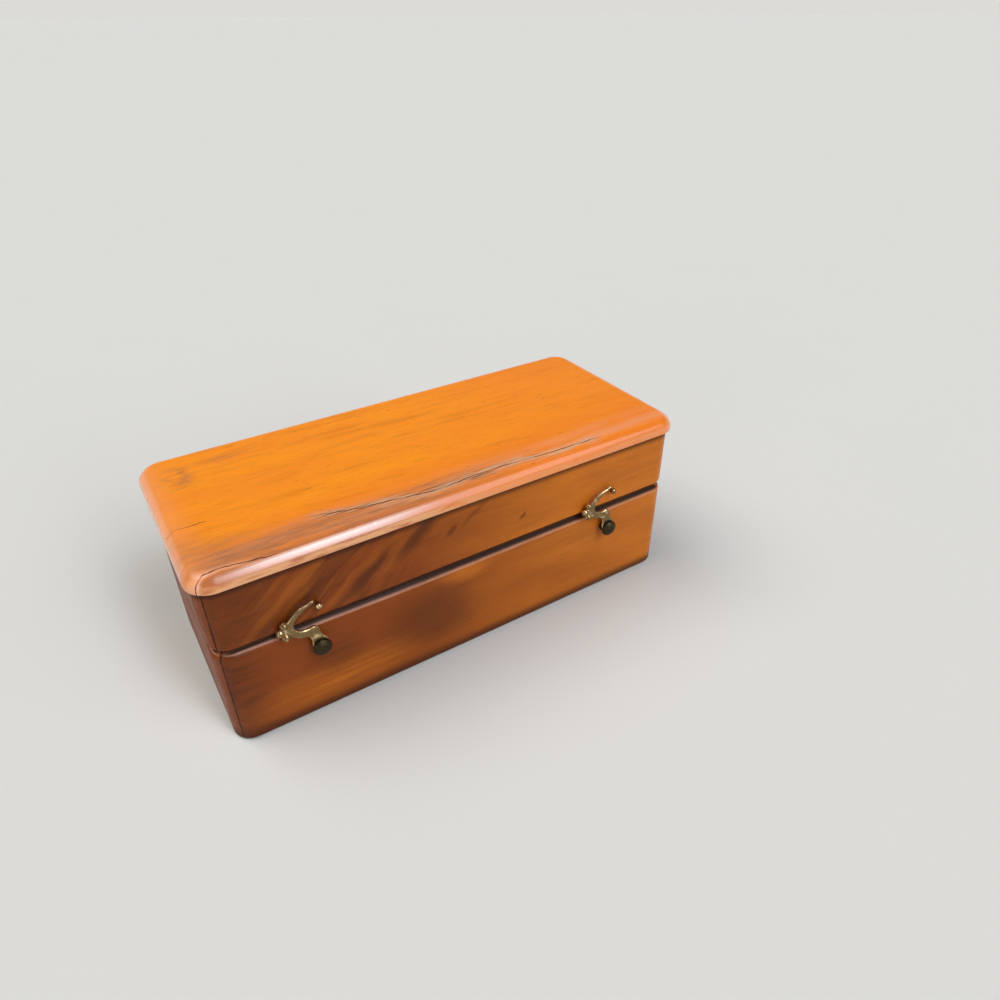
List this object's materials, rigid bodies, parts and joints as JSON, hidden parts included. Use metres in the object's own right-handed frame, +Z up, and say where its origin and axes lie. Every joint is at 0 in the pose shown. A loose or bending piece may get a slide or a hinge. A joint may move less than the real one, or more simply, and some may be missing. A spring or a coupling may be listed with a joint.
{
  "type": "wooden microscope case",
  "caption": "Rectangular polished wooden case with rounded corners, a back-hinged lid with an overhanging round-edged top, swinging front hook latches and a fitted inside.",
  "frame": {"origin": "centre of the case's underside", "axes": "+X along the case, to the right when seen from the front; -Y out of the front, where the hooks are; +Z up"},
  "size_m": [0.2186, 0.0998, 0.0828],
  "materials": {
    "side_mahogany": "french polish",
    "top_mahogany": "french polish",
    "fitting_mahogany": "bare, waxed",
    "hinge_brass": "aged, drawn and filed",
    "hook_brass": "aged, cast and filed",
    "dark_brass": "dark patina"
  },
  "bodies": {
    "base": {"base_front_board": "side_mahogany", "base_back_board": "side_mahogany", "base_left_board": "side_mahogany", "base_right_board": "side_mahogany", "bottom_board": "side_mahogany", "drum_cradle": "fitting_mahogany", "tube_cradle": "fitting_mahogany", "bay_divider": "fitting_mahogany", "slide_rack_left": "fitting_mahogany", "slide_rack_right": "fitting_mahogany", "hinge_base_leaf_left": "hinge_brass", "hinge_pin_left": "hinge_brass", "hook_washer_left": "dark_brass", "hook_pivot_left": "dark_brass", "hinge_base_leaf_right": "hinge_brass", "hinge_pin_right": "hinge_brass", "hook_washer_right": "dark_brass", "hook_pivot_right": "dark_brass"},
    "lid": {"lid_front_board": "side_mahogany", "lid_back_board": "side_mahogany", "lid_left_board": "side_mahogany", "lid_right_board": "side_mahogany", "lid_top_board": "top_mahogany", "drum_hold_down": "fitting_mahogany", "tube_hold_down": "fitting_mahogany", "hinge_lid_leaf_left": "hinge_brass", "hinge_lid_leaf_right": "hinge_brass", "catch_pin_left": "hook_brass", "catch_pin_right": "hook_brass"},
    "hook_left": {"hook_left": "hook_brass"},
    "hook_right": {"hook_right": "hook_brass"}
  },
  "joints": [
    {"name": "lid_hinge", "type": "hinge", "parent": "base", "child": "lid", "pos_m": [0, 0.0471, 0.04675], "axis": [-1, 0, 0], "range_deg": [0, 175]},
    {"name": "hook_left_swing", "type": "hinge", "parent": "base", "child": "hook_left", "pos_m": [-0.0699, -0.04685, 0.0367], "axis": [0, -1, 0], "range_deg": [-9.5, 180]},
    {"name": "hook_right_swing", "type": "hinge", "parent": "base", "child": "hook_right", "pos_m": [0.0699, -0.04685, 0.0367], "axis": [0, -1, 0], "range_deg": [-9.5, 180]}
  ]
}
